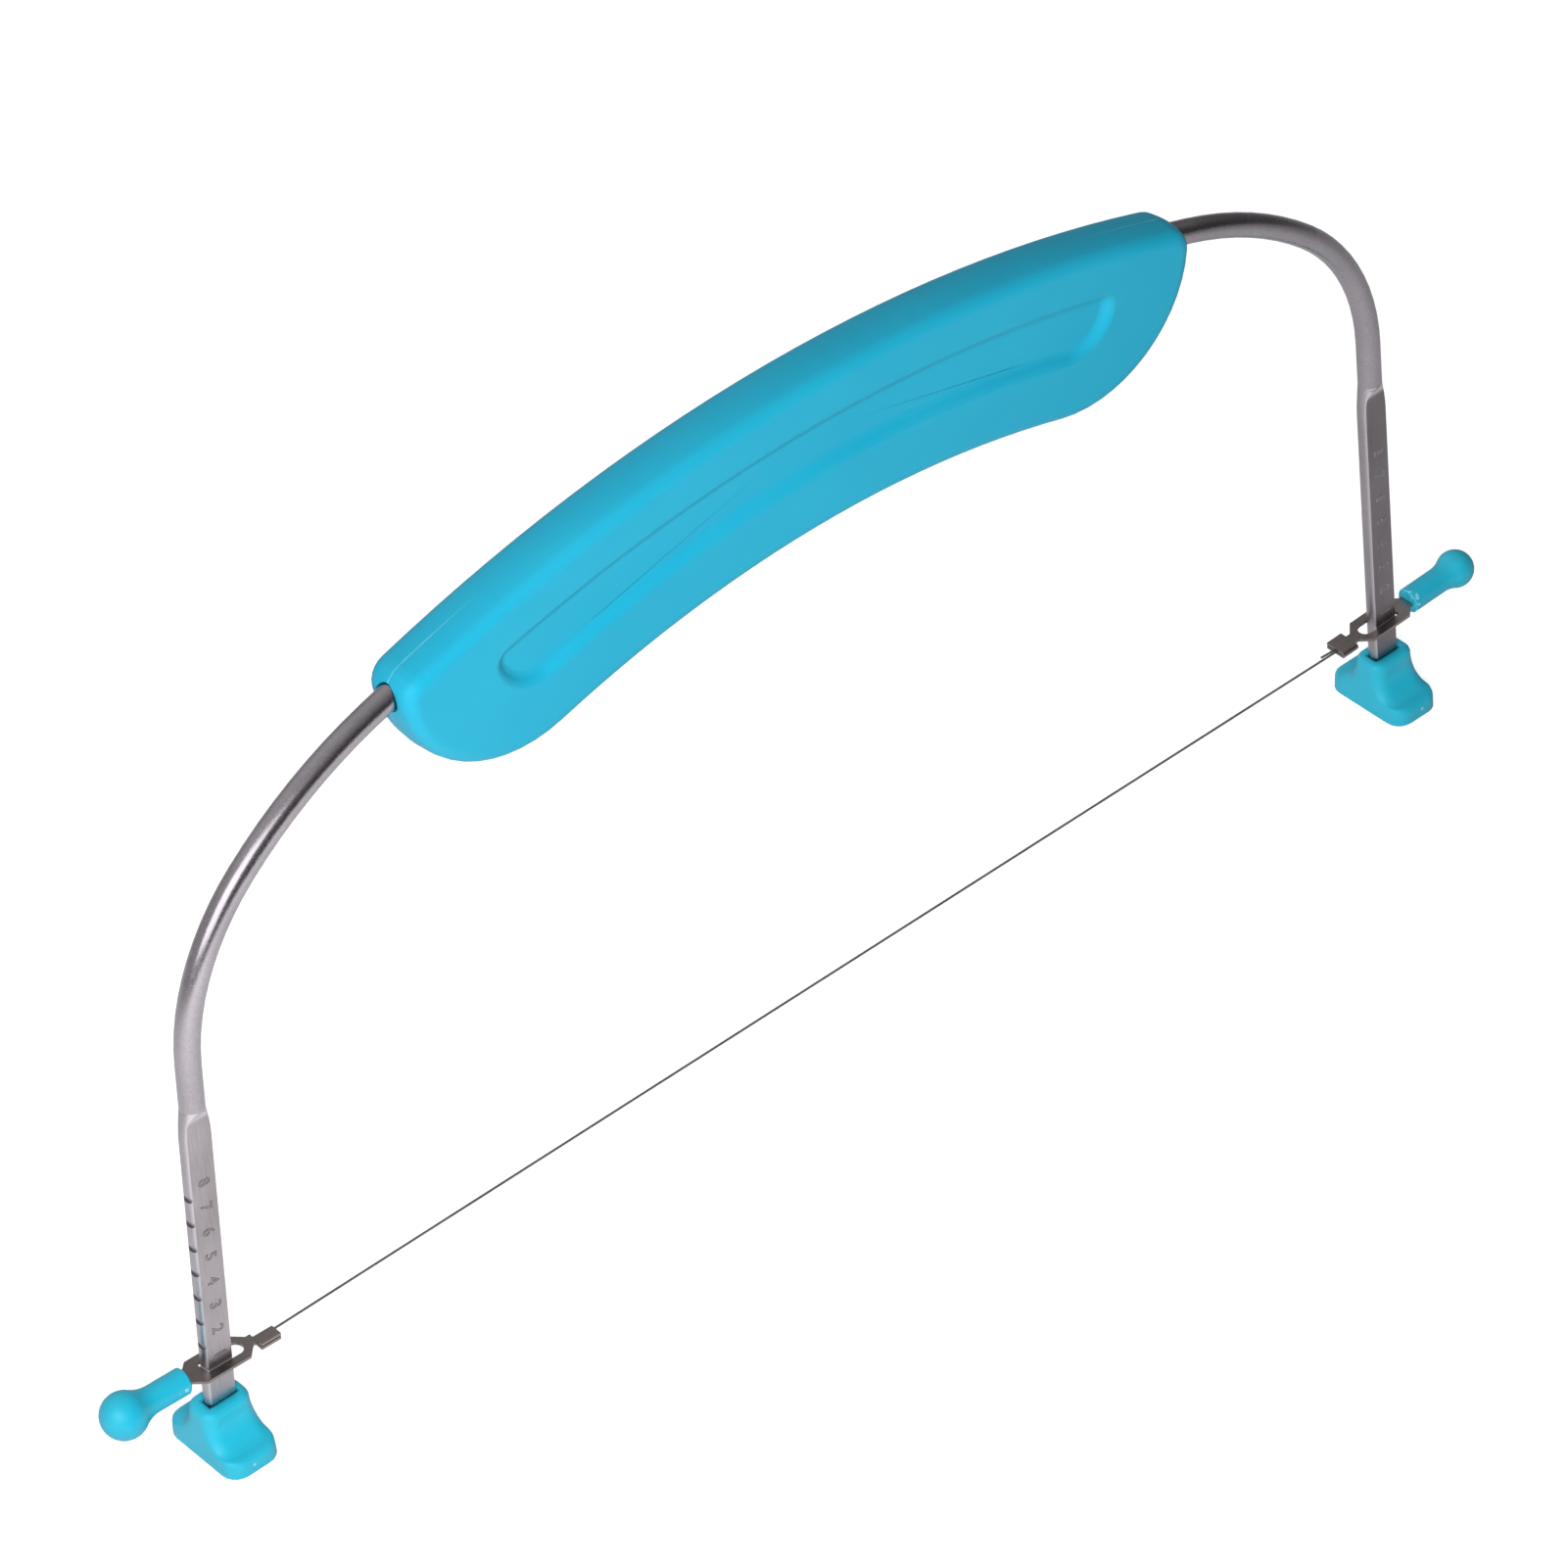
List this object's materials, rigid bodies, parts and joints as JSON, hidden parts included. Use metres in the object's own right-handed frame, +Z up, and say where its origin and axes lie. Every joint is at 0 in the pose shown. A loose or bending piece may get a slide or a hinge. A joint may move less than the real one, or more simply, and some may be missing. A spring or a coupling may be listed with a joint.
{
  "type": "cake leveler",
  "caption": "Adjustable cake leveler: a taut cutting wire hooked across the notched legs of a steel bow with a moulded handle and feet.",
  "frame": {"origin": "on the table, midway between the two feet", "axes": "+X along the cutting wire to the right, +Y to the rear, +Z up"},
  "size_m": [0.3371, 0.0198, 0.1591],
  "materials": {
    "rod_steel": "satin stainless rod",
    "handle_plastic": "semi-gloss moulded plastic",
    "foot_plastic": "semi-gloss moulded plastic",
    "knob_plastic": "semi-gloss moulded plastic",
    "clip_steel": "stamped spring-hard sheet",
    "wire_steel": "drawn stainless wire"
  },
  "bodies": {
    "frame": {"bow_frame": "rod_steel", "handle_front_shell": "handle_plastic", "handle_rear_shell": "handle_plastic", "left_foot": "foot_plastic", "right_foot": "foot_plastic"},
    "wire_set": {"cutting_wire": "wire_steel", "left_clip": "clip_steel", "right_clip": "clip_steel", "left_knob": "knob_plastic", "right_knob": "knob_plastic"}
  },
  "joints": [
    {"name": "wire_height", "type": "slide", "parent": "frame", "child": "wire_set", "axis": [0, 0, 1], "range_m": [0, 0.0399]}
  ]
}
